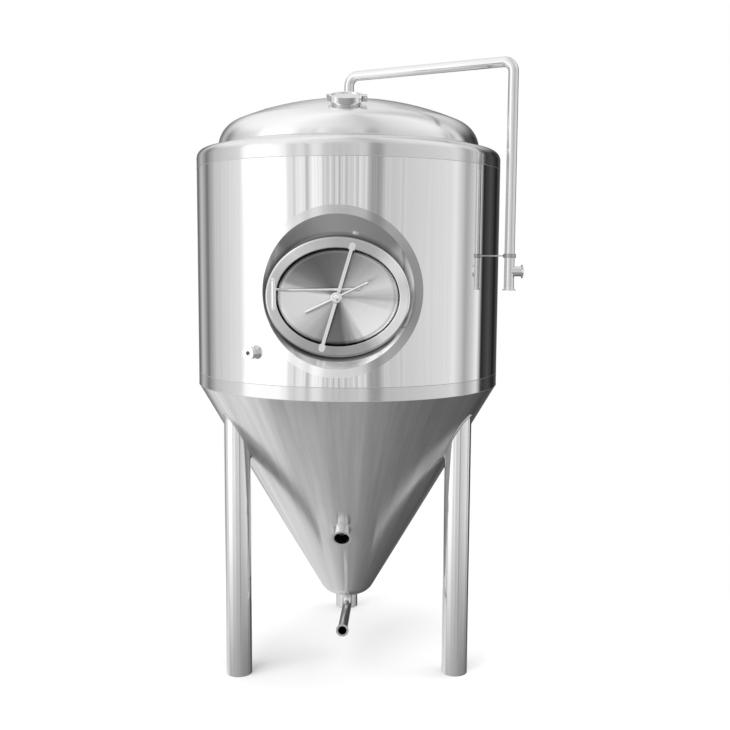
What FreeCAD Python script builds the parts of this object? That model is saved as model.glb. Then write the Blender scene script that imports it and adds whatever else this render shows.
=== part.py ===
import FreeCAD, Part
import math
import os
import Sketcher

# Conical fermenter, jacketed stainless tank of the 1000 litre class.
# Origin: on the floor, on the tank's axis. +Z up. The manway faces -Y.
# Azimuths are measured from -Y towards +X, in degrees.

NODE_FOLDER = "parts"
DOWN_Y = FreeCAD.Rotation(FreeCAD.Vector(1, 0, 0), 90)      # local +Z becomes -Y

doc = FreeCAD.newDocument("conical_fermenter")
sheet = doc.addObject("Spreadsheet::Sheet", "sheet")
nodes = []


class Dim:
    """A size with its number and the spreadsheet expression that it is bound to."""

    def __init__(self, value, text):
        self.value = float(value)
        self.text = text

    def __add__(self, other):
        other = as_dim(other)
        return Dim(self.value + other.value, f"({self.text} + {other.text})")

    def __radd__(self, other):
        return as_dim(other) + self

    def __sub__(self, other):
        other = as_dim(other)
        return Dim(self.value - other.value, f"({self.text} - {other.text})")

    def __rsub__(self, other):
        return as_dim(other) - self

    def __mul__(self, other):
        other = as_dim(other)
        return Dim(self.value * other.value, f"({self.text} * {other.text})")

    def __rmul__(self, other):
        return as_dim(other) * self

    def __truediv__(self, other):
        other = as_dim(other)
        return Dim(self.value / other.value, f"({self.text} / {other.text})")

    def __neg__(self):
        return Dim(-self.value, f"(-1 * {self.text})")


def as_dim(value):
    if isinstance(value, Dim):
        return value
    return Dim(value, repr(float(value)))


def root(value):
    return Dim(math.sqrt(value.value), f"sqrt({value.text})")


def sine(angle):
    return Dim(math.sin(math.radians(angle.value)), f"sin({angle.text})")


def cosine(angle):
    return Dim(math.cos(math.radians(angle.value)), f"cos({angle.text})")


def tangent(angle):
    return Dim(math.tan(math.radians(angle.value)), f"tan({angle.text})")


class Sizes:
    """The driving dimensions: each is one aliased cell of the spreadsheet."""

    def __init__(self, **cells):
        for row, (name, value) in enumerate(cells.items(), start=1):
            sheet.set(f"A{row}", name)
            sheet.set(f"B{row}", str(value))
            sheet.setAlias(f"B{row}", name)
            setattr(self, name, Dim(value, f"{sheet.Name}.{name}"))


d = Sizes(
    # inner vessel
    bore_radius=521, wall=3, cylinder_foot=1152, cylinder_head=2091,
    crown_radius=1150, knuckle_radius=110, cone_half_angle=30,
    # cladding
    shell_radius=610, cladding=2, band_top=1202, mirror_top=2006,
    shoulder_straight=2045, shoulder_corner=35, shoulder_slope=11, cone_toe_radius=75, cone_bottom=247,
    # cooling jackets
    jacket_depth=10, jacket_sheet=1.5, jacket_foot=1200, jacket_top=2030,
    cone_jacket_top=1120, cone_jacket_foot=690,
    # legs
    leg_radius=51, leg_wall=3, leg_circle=500, leg_turn=4, leg_plate=12, leg_thread_radius=8.65,
    # manway
    manway_height=1519, rim_half_width=256, rim_half_height=213,
    door_half_width=219, door_half_height=173, rim_face=582, rim_thickness=12,
    neck_wall=6, neck_end=455, surround_height=1538, surround_radius=302, surround_ring=31,
    funnel_depth=564, seal=6, cover_sheet=4, cover_gap=3, cover_lap=13,
    cover_edge=570, cover_middle=552, cover_corner=14,
    stud_radius=10, bar_turn=16.6, bar_reach=188, handle_turn=25.8,
    handle_reach=119, hub_radius=20,
    # davit
    davit_offset=224, davit_rise=9, davit_pin_radius=6, davit_rod_radius=5.5,
    # hygienic tube and ferrules
    tube_radius=19.05, tube_wall=1.65, tube_bend=38, ferrule_radius=25.25,
    large_tube_radius=50.8, large_tube_wall=2, large_ferrule_radius=59.5,
    racking_tube_radius=31.75, racking_ferrule_radius=38.75,
    flange_rim=2.85, flange_slope=20, gasket=1.6,
    # ports
    top_port_offset=400, top_port_azimuth=2.3, top_port_height=19,
    cip_port_height=18, cip_azimuth=65.3, cip_reach=691, cip_top=2384,
    cip_end=1539, cip_branch_height=1611, cip_bracket_height=1669,
    relief_offset=335, relief_azimuth=-88, relief_height=16,
    probe_azimuth=-30.5, probe_height=1315, racking_height=600,
    drain_height=185, drain_reach=285,
)
doc.recompute()

# Sizes worked out from the driving dimensions.
inner_radius = d.bore_radius + d.wall
cone_slope = tangent(d.cone_half_angle)
cone_sheet_span = d.cladding / cosine(d.cone_half_angle)
cone_wall_span = d.wall / cosine(d.cone_half_angle)
cone_jacket_span = d.jacket_depth / cosine(d.cone_half_angle)
jacket_sheet_span = d.jacket_sheet / cosine(d.cone_half_angle)


# ---------------------------------------------------------------- helpers

def bind(item, prop, size):
    """Bind one property of a document object to an expression on the sheet."""
    item.setExpression(prop, as_dim(size).text)


def node(item, label):
    """Register a finished object as a sub-part."""
    item.Label = label
    nodes.append(item)
    return item


def place(item, base, rotation=None):
    vector = FreeCAD.Vector(*[as_dim(part).value for part in base])
    item.Placement = FreeCAD.Placement(vector, rotation or FreeCAD.Rotation())
    return item


def cylinder(radius, height, base=(0, 0, 0), rotation=None):
    item = doc.addObject("Part::Cylinder", "cylinder")
    bind(item, "Radius", radius)
    bind(item, "Height", height)
    return place(item, base, rotation)


def box(length, width, height, base=(0, 0, 0), rotation=None):
    item = doc.addObject("Part::Box", "box")
    bind(item, "Length", length)
    bind(item, "Width", width)
    bind(item, "Height", height)
    return place(item, base, rotation)


def cut(base, *tools):
    for tool in tools:
        item = doc.addObject("Part::Cut", "cut")
        item.Base = base
        item.Tool = tool
        base = item
    return base


def common(base, tool):
    item = doc.addObject("Part::Common", "common")
    item.Base = base
    item.Tool = tool
    return item


def fuse(*shapes):
    item = doc.addObject("Part::MultiFuse", "fuse")
    item.Shapes = list(shapes)
    item.Refine = True
    return item


def group(*shapes):
    """Separate identical solids that share one node."""
    item = doc.addObject("Part::Compound", "group")
    item.Links = list(shapes)
    return item


def tube(radius, wall, height, base=(0, 0, 0), rotation=None):
    outer = cylinder(radius, height, base, rotation)
    inner = cylinder(radius - wall, height, base, rotation)
    return cut(outer, inner)


def turned(outline, radii=None):
    """A body of revolution about Z. outline: (r, z) corners in order around the section.

    radii maps the index of a corner to the radius of the arc from it to the next corner;
    a positive radius bulges away from the section's middle, a negative one towards it.
    """
    radii = radii or {}
    body = doc.addObject("PartDesign::Body", "turned")
    plane = next(o for o in body.Origin.OriginFeatures if o.Role == "XZ_Plane")
    axis = next(o for o in body.Origin.OriginFeatures if o.Role == "Z_Axis")
    sketch = body.newObject("Sketcher::SketchObject", "section")
    sketch.AttachmentSupport = [(plane, "")]
    sketch.MapMode = "FlatFace"
    corners = [(as_dim(r), as_dim(z)) for r, z in outline]
    points = [FreeCAD.Vector(r.value, z.value, 0) for r, z in corners]
    middle = sum(points, FreeCAD.Vector()) * (1 / len(points))
    starts = []
    for index, start in enumerate(points):
        end = points[(index + 1) % len(points)]
        if index in radii:
            flip = add_arc(sketch, start, end, as_dim(radii[index]).value, middle)
        else:
            sketch.addGeometry(Part.LineSegment(start, end), False)
            flip = False
        starts.append((2, 1) if flip else (1, 2))
    for index, (first, last) in enumerate(starts):
        following = (index + 1) % len(points)
        sketch.addConstraint(Sketcher.Constraint("Coincident", index, last, following, starts[following][0]))
    for index, (r, z) in enumerate(corners):
        for kind, size in (("DistanceX", r), ("DistanceY", z)):
            number = sketch.addConstraint(Sketcher.Constraint(kind, index, starts[index][0], size.value))
            if "sheet" in size.text:
                sketch.setExpression(f"Constraints[{number}]", size.text)
        if index in radii:
            size = as_dim(radii[index])
            number = sketch.addConstraint(Sketcher.Constraint("Radius", index, abs(size.value)))
            if "sheet" in size.text:
                sketch.setExpression(f"Constraints[{number}]", f"abs({size.text})")
    revolution = body.newObject("PartDesign::Revolution", "revolution")
    revolution.Profile = sketch
    revolution.ReferenceAxis = (axis, [""])
    revolution.Angle = 360
    return body


def add_arc(sketch, start, end, radius, middle):
    """Add an arc from start to end; returns True if the sketcher stores it end to start."""
    chord = end - start
    half = chord.Length / 2
    side = FreeCAD.Vector(-chord.y, chord.x, 0).normalize()
    mid = (start + end) * 0.5
    away = 1 if side.dot(mid - middle) > 0 else -1
    if radius < 0:
        away = -away
    sagitta_side = side * away
    centre = mid - sagitta_side * math.sqrt(max(radius * radius - half * half, 0))
    anticlockwise = (start - centre).cross(end - centre).z > 0
    first, last = (start, end) if anticlockwise else (end, start)
    circle = Part.Circle(centre, FreeCAD.Vector(0, 0, 1), abs(radius))
    sketch.addGeometry(Part.ArcOfCircle(circle, circle.parameter(first), circle.parameter(last)), False)
    return not anticlockwise


def sheet_tube(r, low, high, thickness):
    """A plain rolled sheet: inner radius r, between two heights."""
    return turned([(r, low), (r + thickness, low), (r + thickness, high), (r, high)])


def oval(half_width, half_height, front, depth, height=d.manway_height):
    """A solid oval bar across the manway: its front plane is at -front, it runs inwards."""
    ellipse = doc.addObject("Part::Ellipse", "ellipse")
    bind(ellipse, "MajorRadius", half_width)
    bind(ellipse, "MinorRadius", half_height)
    place(ellipse, (0, -as_dim(front), height), FreeCAD.Rotation(FreeCAD.Vector(1, 0, 0), 90))
    bar = doc.addObject("Part::Extrusion", "oval")
    bar.Base = ellipse
    bar.DirMode = "Custom"
    bar.Dir = FreeCAD.Vector(0, 1, 0)
    bar.Solid = True
    bind(bar, "LengthFwd", depth)
    return bar


def turned_to(azimuth, tilt=0.0):
    """Rotation that sends local +Z outwards at an azimuth, tilt degrees above the horizontal."""
    heading = FreeCAD.Rotation(FreeCAD.Vector(0, 0, 1), as_dim(azimuth).value)
    lift = FreeCAD.Rotation(FreeCAD.Vector(1, 0, 0), 90 - as_dim(tilt).value)
    return heading.multiply(lift)


def outwards(radius, azimuth, height):
    angle = math.radians(as_dim(azimuth).value)
    reach = as_dim(radius).value
    return (reach * math.sin(angle), -reach * math.cos(angle), height)


def ferrule(tube_radius, wall, flange_radius, length):
    """A clamp ferrule about +Z: its face is at z = 0 and its tube runs down to -length."""
    slope = (flange_radius - tube_radius) * tangent(d.flange_slope)
    return turned([
        (tube_radius - wall, 0), (flange_radius, 0), (flange_radius, -d.flange_rim),
        (tube_radius, -(d.flange_rim + slope)), (tube_radius, -as_dim(length)),
        (tube_radius - wall, -as_dim(length)),
    ])


def pipe_path(points, bend, radius, wall):
    """A bent tube through the given points, every corner rounded to the same bend radius."""
    vectors = [FreeCAD.Vector(*[as_dim(part).value for part in point]) for point in points]
    edges = []
    last = vectors[0]
    for before, corner, after in zip(vectors, vectors[1:], vectors[2:]):
        back = (before - corner).normalize()
        on = (after - corner).normalize()
        half = back.getAngle(on) / 2
        trim = bend / math.tan(half)
        enter = corner + back * trim
        leave = corner + on * trim
        bisector = (back + on).normalize()
        centre = corner + bisector * (bend / math.sin(half))
        edges.append(Part.LineSegment(last, enter).toShape())
        edges.append(Part.Arc(enter, centre - bisector * bend, leave).toShape())
        last = leave
    edges.append(Part.LineSegment(last, vectors[-1]).toShape())
    path = Part.Wire(edges)
    direction = (vectors[1] - vectors[0]).normalize()

    def sweep(size):
        ring = Part.Wire(Part.makeCircle(size, vectors[0], direction))
        return path.makePipeShell([ring], True, False, 1)

    if wall == radius:
        return sweep(radius)
    return sweep(radius).cut(sweep(radius - wall))


def shaped(shape, base=(0, 0, 0), rotation=None):
    """A feature whose shape is worked out with Part's own functions."""
    item = doc.addObject("Part::Feature", "shaped")
    item.Shape = shape
    return place(item, base, rotation)


# ---------------------------------------------------------------- shared geometry

door_width = d.door_half_width
door_height = d.door_half_height
neck_width = door_width + d.neck_wall
neck_height = door_height + d.neck_wall
crown = d.crown_radius
knuckle = d.knuckle_radius
knuckle_sine = (inner_radius - knuckle) / (crown - knuckle)
knuckle_cosine = root(1 - knuckle_sine * knuckle_sine)
crown_centre = d.cylinder_head - (crown - knuckle) * knuckle_cosine
outer_cone_tip = d.cylinder_foot - d.shell_radius / cone_slope
tube_bore = d.tube_radius - d.tube_wall
outlet_height = d.cylinder_foot - (d.bore_radius - tube_bore) / cone_slope
TOOL_DEPTH = 400
MANWAY_TOOL_FRONT = 700     # cutting bars start this far in front of the axis
WALL_TOOL_DEPTH = 140       # deep enough for a nozzle through the insulation
SHALLOW_TOOL_DEPTH = 120
CONE_TOOL_DEPTH = 180
SHEET_TOOL_DEPTH = 80
PROBE_REACH = 28
RACKING_REACH = 50


def cone_outside(height):
    """Outer radius of the inner cone at a height."""
    return d.bore_radius + cone_wall_span - (d.cylinder_foot - as_dim(height)) * cone_slope


def cladding_outside(height):
    """Outer radius of the cone cladding at a height."""
    return (as_dim(height) - outer_cone_tip) * cone_slope


# The cone walls are parallel, so their gap is the same at every height; it is taken at the top.
insulation_span = cladding_outside(d.cylinder_foot) - cone_outside(d.cylinder_foot)


def on_dome(offset, azimuth, rise):
    """A point above the dome's crown, measured along its normal, and the rotation to the normal."""
    lean = math.degrees(math.asin(as_dim(offset).value / crown.value))
    reach = crown.value + as_dim(rise).value
    radius = reach * math.sin(math.radians(lean))
    height = crown_centre.value + reach * math.cos(math.radians(lean))
    return outwards(radius, azimuth, height), turned_to(azimuth, 90 - lean)


def on_cone(height, azimuth, rise):
    """A point off the cone cladding along its normal, and the rotation to the normal."""
    lean = math.radians(d.cone_half_angle.value)
    radius = cladding_outside(height).value + rise * math.cos(lean)
    centre = as_dim(height).value - rise * math.sin(lean)
    return outwards(radius, azimuth, centre), turned_to(azimuth, -d.cone_half_angle.value)


def hole(radius, position, depth=TOOL_DEPTH, behind=60):
    """A round cutting tool about a nozzle: it starts outside the face and runs inwards."""
    base, rotation = position
    origin = FreeCAD.Vector(*[as_dim(part).value for part in base])
    origin = origin - rotation.multVec(FreeCAD.Vector(0, 0, depth))
    return cylinder(radius, depth + behind, tuple(origin), rotation)


probe_position = (outwards(d.shell_radius + PROBE_REACH, d.probe_azimuth, d.probe_height),
                  turned_to(d.probe_azimuth))
racking_position = on_cone(d.racking_height, 0, RACKING_REACH)
top_port_position = on_dome(d.top_port_offset, d.top_port_azimuth, d.top_port_height)
cip_port_position = on_dome(0, 0, d.cip_port_height)
relief_position = on_dome(d.relief_offset, d.relief_azimuth, d.relief_height)
GLYCOL_RADIUS = 12
GLYCOL_BORE = 9
GLYCOL_REACH = 30
SHELL_GLYCOL_AZIMUTH = 168
SHELL_GLYCOL_HEIGHTS = (1290, 1940)
CONE_GLYCOL_AZIMUTH = 150
CONE_GLYCOL_HEIGHTS = (760, 1010)
shell_glycol = [
    (outwards(d.shell_radius + GLYCOL_REACH, SHELL_GLYCOL_AZIMUTH, height), turned_to(SHELL_GLYCOL_AZIMUTH))
    for height in SHELL_GLYCOL_HEIGHTS
]
cone_glycol = [on_cone(height, CONE_GLYCOL_AZIMUTH, GLYCOL_REACH) for height in CONE_GLYCOL_HEIGHTS]


def surround_bar(radius):
    """A round bar about the surround's axis, through the front wall only."""
    return cylinder(radius, MANWAY_TOOL_FRONT - TOOL_DEPTH, (0, -TOOL_DEPTH, d.surround_height), DOWN_Y)


# ---------------------------------------------------------------- vessel

def make_vessel():
    shell = sheet_tube(d.bore_radius, d.cylinder_foot, d.cylinder_head, d.wall)
    neck_opening = oval(neck_width, neck_height, MANWAY_TOOL_FRONT, TOOL_DEPTH)
    node(cut(shell, neck_opening, hole(d.tube_radius, probe_position)), "inner_shell")
    tangent_outer = (crown * knuckle_sine, crown_centre + crown * knuckle_cosine)
    inner_crown = crown - d.wall
    tangent_inner = (inner_crown * knuckle_sine, crown_centre + inner_crown * knuckle_cosine)
    head = turned([
        (inner_radius, d.cylinder_head), tangent_outer, (0, crown_centre + crown),
        (0, crown_centre + inner_crown), tangent_inner, (d.bore_radius, d.cylinder_head),
    ], {0: knuckle, 1: crown, 3: inner_crown, 4: knuckle - d.wall})
    node(cut(head, hole(d.large_tube_radius, top_port_position, SHALLOW_TOOL_DEPTH),
             hole(d.tube_radius, cip_port_position, SHALLOW_TOOL_DEPTH),
             hole(d.tube_radius, relief_position, SHALLOW_TOOL_DEPTH)), "top_head")
    cone = turned([
        (d.bore_radius, d.cylinder_foot), (cone_outside(d.cylinder_foot), d.cylinder_foot),
        (cone_outside(outlet_height), outlet_height), (tube_bore, outlet_height),
    ])
    node(cut(cone, hole(d.racking_tube_radius, racking_position)), "inner_cone")


def make_jackets():
    void_foot = d.jacket_foot + d.jacket_sheet
    void_top = d.jacket_top - d.jacket_sheet
    block = sheet_tube(inner_radius, d.jacket_foot, d.jacket_top, d.jacket_depth)
    void = sheet_tube(inner_radius, void_foot, void_top, d.jacket_depth - d.jacket_sheet)
    clear = 12
    window = oval(neck_width + clear, neck_height + clear, MANWAY_TOOL_FRONT, TOOL_DEPTH)
    lining = clear + d.jacket_sheet
    void_window = oval(neck_width + lining, neck_height + lining, MANWAY_TOOL_FRONT, TOOL_DEPTH)
    probe_window = hole(d.tube_radius + clear, probe_position)
    probe_lining = hole(d.tube_radius + lining, probe_position)
    node(cut(cut(block, window, probe_window), cut(void, void_window, probe_lining)),
         "shell_cooling_jacket")
    low = d.cone_jacket_foot
    high = d.cone_jacket_top
    low_void = low + d.jacket_sheet
    high_void = high - d.jacket_sheet
    void_span = cone_jacket_span - jacket_sheet_span
    node(turned([
        (cone_outside(low), low), (cone_outside(low) + cone_jacket_span, low),
        (cone_outside(high) + cone_jacket_span, high), (cone_outside(high), high),
        (cone_outside(high_void), high_void), (cone_outside(high_void) + void_span, high_void),
        (cone_outside(low_void) + void_span, low_void), (cone_outside(low_void), low_void),
    ]), "cone_cooling_jacket")


def make_glycol_ports():
    def stub(position, depth):
        base, rotation = position
        section = [(GLYCOL_BORE, 0), (GLYCOL_RADIUS, 0), (GLYCOL_RADIUS, -depth), (GLYCOL_BORE, -depth)]
        return place(turned(section), base, rotation)

    shell_depth = d.shell_radius + GLYCOL_REACH - inner_radius - d.jacket_depth - 1
    node(group(*[stub(position, shell_depth) for position in shell_glycol]), "shell_glycol_ports")
    cone_gap = (insulation_span - cone_jacket_span) * cosine(d.cone_half_angle)
    node(group(*[stub(position, cone_gap + GLYCOL_REACH - 1) for position in cone_glycol]),
         "cone_glycol_ports")


def make_insulation():
    foam_top = 2035
    foam_foot = 300
    foam_inside = inner_radius + d.jacket_depth
    clad_inside = d.shell_radius - d.cladding
    foam = sheet_tube(foam_inside, d.cylinder_foot, foam_top, clad_inside - foam_inside)
    tools = [hole(d.tube_radius, probe_position),
             surround_bar(d.surround_radius + 5)]
    tools += [hole(GLYCOL_RADIUS, position, WALL_TOOL_DEPTH) for position in shell_glycol]
    node(cut(foam, *tools), "shell_insulation")
    step = d.cone_jacket_foot
    wedge = turned([
        (cone_outside(d.cylinder_foot) + cone_jacket_span, d.cylinder_foot),
        (cone_outside(step) + cone_jacket_span, step), (cone_outside(step), step),
        (cone_outside(foam_foot), foam_foot),
        (cladding_outside(foam_foot) - cone_sheet_span, foam_foot),
        (d.shell_radius - cone_sheet_span, d.cylinder_foot),
    ])
    tools = [hole(d.racking_tube_radius, racking_position, CONE_TOOL_DEPTH)]
    tools += [hole(GLYCOL_RADIUS, position, WALL_TOOL_DEPTH) for position in cone_glycol]
    node(cut(wedge, *tools), "cone_insulation")


# ---------------------------------------------------------------- cladding

def make_cladding():
    clad_inside = d.shell_radius - d.cladding
    shell = sheet_tube(clad_inside, d.band_top, d.mirror_top, d.cladding)
    opening = surround_bar(d.surround_radius)
    tools = [hole(GLYCOL_RADIUS, position, WALL_TOOL_DEPTH) for position in shell_glycol]
    node(cut(shell, opening, hole(d.tube_radius, probe_position, SHALLOW_TOOL_DEPTH), *tools),
         "shell_cladding")
    node(sheet_tube(clad_inside, d.cylinder_foot, d.band_top, d.cladding), "lower_band")

    bend = d.shoulder_corner
    inner_bend = bend - d.cladding
    centre = d.shell_radius - bend
    slope = tangent(d.shoulder_slope)
    high = (centre + bend * sine(d.shoulder_slope), d.shoulder_straight + bend * cosine(d.shoulder_slope))
    low = (centre + inner_bend * sine(d.shoulder_slope),
           d.shoulder_straight + inner_bend * cosine(d.shoulder_slope))
    node(turned([
        (clad_inside, d.mirror_top), (d.shell_radius, d.mirror_top),
        (d.shell_radius, d.shoulder_straight), high,
        (inner_radius, high[1] + (high[0] - inner_radius) * slope),
        (inner_radius, low[1] + (low[0] - inner_radius) * slope), low,
        (clad_inside, d.shoulder_straight),
    ], {2: bend, 6: inner_bend}), "shoulder_ring")

    toe = d.cone_toe_radius
    inner_toe = toe - d.cladding
    toe_trim = toe * tangent(d.cone_half_angle)
    toe_centre = cladding_outside(d.cone_bottom) - toe_trim
    toe_height = d.cone_bottom + toe
    side = cosine(d.cone_half_angle)
    drop = sine(d.cone_half_angle)
    outlet_gap = 0.3
    hole_radius = d.tube_radius + outlet_gap
    cone = turned([
        (d.shell_radius - cone_sheet_span, d.cylinder_foot), (d.shell_radius, d.cylinder_foot),
        (toe_centre + toe * side, toe_height - toe * drop), (toe_centre, d.cone_bottom),
        (hole_radius, d.cone_bottom), (hole_radius, d.cone_bottom + d.cladding),
        (toe_centre, d.cone_bottom + d.cladding),
        (toe_centre + inner_toe * side, toe_height - inner_toe * drop),
    ], {2: toe, 6: inner_toe})
    tools = [hole(GLYCOL_RADIUS, position, SHEET_TOOL_DEPTH) for position in cone_glycol]
    tools.append(hole(d.racking_tube_radius, racking_position, SHEET_TOOL_DEPTH))
    node(cut(cone, *tools), "cone_cladding")


# ---------------------------------------------------------------- legs

def make_legs():
    solid_cone = doc.addObject("Part::Cone", "cone")
    bind(solid_cone, "Radius1", 0)
    past_the_legs = d.shell_radius * 1.2
    bind(solid_cone, "Radius2", past_the_legs)
    bind(solid_cone, "Height", past_the_legs / cone_slope)
    place(solid_cone, (0, 0, outer_cone_tip))
    plates = []
    for name, turn in (("leg_front_left", -60), ("leg_front_right", 60), ("leg_rear", 180)):
        base = outwards(d.leg_circle, d.leg_turn + turn, d.leg_plate)
        leg = tube(d.leg_radius, d.leg_wall, d.cylinder_foot - d.leg_plate, base)
        node(cut(leg, solid_cone), name)
        foot = outwards(d.leg_circle, d.leg_turn + turn, 0)
        plate = cylinder(d.leg_radius, d.leg_plate, foot)
        plates.append(cut(plate, cylinder(d.leg_thread_radius, d.leg_plate, foot)))
    node(group(*plates), "leg_end_plates")


# ---------------------------------------------------------------- manway

BAR_BACK = 586
BAR_FRONT = 604
WASHER = 3
HUB_LENGTH = 30


def make_surround():
    """Flush ring in the cladding, and the funnel from it down to the oval frame."""
    inner_radius_here = d.surround_radius - d.surround_ring
    outer = surround_bar(d.surround_radius)
    inner = surround_bar(inner_radius_here)
    skin = tube(d.shell_radius, d.cladding, d.mirror_top - d.band_top, (0, 0, d.band_top))
    ring = common(cut(outer, inner), skin)
    doc.recompute()

    def saddle(turn):
        x = inner_radius_here.value * math.cos(turn)
        z = d.surround_height.value + inner_radius_here.value * math.sin(turn)
        return FreeCAD.Vector(x, -math.sqrt(d.shell_radius.value ** 2 - x * x), z)

    rim_gap = 0.4
    sheet = 2.5

    def rim(turn):
        x = (d.rim_half_width.value + rim_gap) * math.cos(turn)
        z = d.manway_height.value + (d.rim_half_height.value + rim_gap) * math.sin(turn)
        return FreeCAD.Vector(x, -d.funnel_depth.value, z)

    steps = 72
    loops = []
    for curve in (saddle, rim):
        spline = Part.BSplineCurve()
        spline.interpolate([curve(2 * math.pi * step / steps) for step in range(steps)],
                           PeriodicFlag=True)
        loops.append(spline.toShape())
    wall = Part.makeRuledSurface(*loops)
    funnel = shaped(wall.extrude(FreeCAD.Vector(0, sheet, 0)))
    node(fuse(ring, funnel), "manway_surround")


def make_frame():
    through = oval(door_width, door_height, MANWAY_TOOL_FRONT, TOOL_DEPTH)
    rim = oval(d.rim_half_width, d.rim_half_height, d.rim_face, d.rim_thickness)
    neck_front = d.rim_face - d.rim_thickness
    collar_wall = 4
    collar_depth = 24
    collar = oval(d.rim_half_width, d.rim_half_height, neck_front, collar_depth)
    collar_bore = oval(d.rim_half_width - collar_wall, d.rim_half_height - collar_wall, neck_front,
                       collar_depth)
    neck = oval(neck_width, neck_height, neck_front, neck_front - d.neck_end)
    whole = cut(fuse(rim, cut(collar, collar_bore), neck), through)
    doc.recompute()
    front = -d.rim_face.value
    outer_round = 8
    door_round = 3
    on_plane = 0.1
    edges = []
    for number, edge in enumerate(whole.Shape.Edges, start=1):
        bounds = edge.BoundBox
        if abs(bounds.YMin - front) < on_plane and abs(bounds.YMax - front) < on_plane:
            is_outer = bounds.XLength > d.rim_half_width.value + d.door_half_width.value
            radius = outer_round if is_outer else door_round
            edges.append((number, radius, radius))
    rounded = doc.addObject("Part::Fillet", "rounded")
    rounded.Base = whole
    rounded.Edges = edges
    node(rounded, "manway_frame")


def make_cover():
    edge_height = door_height - d.cover_gap
    corner = d.cover_corner
    flange = d.neck_end - d.seal
    inner_corner = corner - d.cover_sheet
    dish_width = edge_height - corner
    dish_depth = d.cover_edge - d.cover_middle
    dish = (dish_width * dish_width + dish_depth * dish_depth) / (2 * dish_depth)
    section = turned([
        (0, d.cover_middle), (edge_height - corner, d.cover_edge),
        (edge_height, d.cover_edge - corner), (edge_height, flange),
        (door_height + d.cover_lap, flange), (door_height + d.cover_lap, flange - d.cover_sheet),
        (edge_height - d.cover_sheet, flange - d.cover_sheet),
        (edge_height - d.cover_sheet, d.cover_edge - corner),
        (edge_height - corner, d.cover_edge - d.cover_sheet), (0, d.cover_middle - d.cover_sheet),
    ], {0: -dish, 1: corner, 7: inner_corner, 8: -dish})
    doc.recompute()
    stretch = FreeCAD.Matrix()
    stretch.scale((door_width.value - d.cover_gap.value) / edge_height.value, 1, 1)
    oval_cover = section.Shape.transformGeometry(stretch)
    cover = node(shaped(oval_cover, (0, 0, d.manway_height), DOWN_Y), "manway_cover")
    lap = d.cover_lap - 2
    ring = oval(door_width + lap, door_height + lap, d.neck_end, d.seal)
    node(cut(ring, oval(door_width + 1, door_height + 1, d.neck_end, d.seal)), "manway_gasket")
    stud_end = 646
    stud_chamfer = 4
    foot = d.cover_middle - d.cover_sheet / 2
    stud = turned([
        (0, foot), (d.stud_radius, foot), (d.stud_radius, stud_end - stud_chamfer),
        (d.stud_radius - stud_chamfer, stud_end), (0, stud_end),
    ])
    node(cut(place(stud, (0, 0, d.manway_height), DOWN_Y), cover), "manway_stud")


def make_crossbar():
    """Yoke across the opening, with a foot on the rim at each end; local +Z points out."""
    thickness = BAR_FRONT - BAR_BACK
    eye = cylinder(d.hub_radius, thickness, (0, 0, BAR_BACK))
    half = d.bar_reach
    width = 12
    setback = 2
    bar = box(width, half * 2, thickness - 2 * setback, (-width / 2, -half, BAR_BACK + setback))
    foot_radius = 11
    foot_depth = 20
    foot_length = 14
    feet = []
    for side in (-1, 1):
        inward = side * (half - 8) - foot_length / 2
        foot = fuse(cylinder(foot_radius, foot_depth, (0, side * half, d.rim_face)),
                    box(foot_radius * 2, foot_length, foot_depth, (-foot_radius, inward, d.rim_face)))
        feet.append(foot)
    stud_gap = 0.5
    stud_bore = cylinder(d.stud_radius + stud_gap, thickness * 2, (0, 0, BAR_BACK - thickness / 2))
    whole = cut(fuse(eye, bar, *feet), stud_bore)
    turn = FreeCAD.Rotation(FreeCAD.Vector(0, 0, 1), -d.bar_turn.value)
    node(place(whole, (0, 0, d.manway_height), DOWN_Y.multiply(turn)), "crossbar")


def make_handle():
    start = BAR_FRONT + WASHER
    end = start + HUB_LENGTH
    rise = start + 17
    washer_inside = d.stud_radius + 0.5
    washer_outside = d.stud_radius + 8
    washer = turned([(washer_inside, BAR_FRONT), (washer_outside, BAR_FRONT),
                     (washer_outside, start), (washer_inside, start)])
    node(place(washer, (0, 0, d.manway_height), DOWN_Y), "handle_washer")
    hub_bore = d.stud_radius + 0.06
    hub_round = 5
    hub = turned([
        (hub_bore, start), (d.hub_radius, start), (d.hub_radius, end - hub_round),
        (d.hub_radius - hub_round, end), (hub_bore, end),
    ], {2: hub_round})
    across = FreeCAD.Rotation(FreeCAD.Vector(0, 1, 0), 90)
    grip_radius = 7
    rod_radius = 5
    inside_hub = 14
    grip = cylinder(grip_radius, d.handle_reach - inside_hub, (-d.handle_reach, 0, rise), across)
    rod = cylinder(rod_radius, d.handle_reach - 20, (inside_hub, 0, rise), across)
    tip = doc.addObject("Part::Sphere", "tip")
    bind(tip, "Radius", grip_radius)
    place(tip, (d.handle_reach - 3, 0, rise))
    turn = FreeCAD.Rotation(FreeCAD.Vector(0, 0, 1), d.handle_turn.value)
    node(place(fuse(hub, grip, rod, tip), (0, 0, d.manway_height), DOWN_Y.multiply(turn)),
         "manway_handle")


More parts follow.
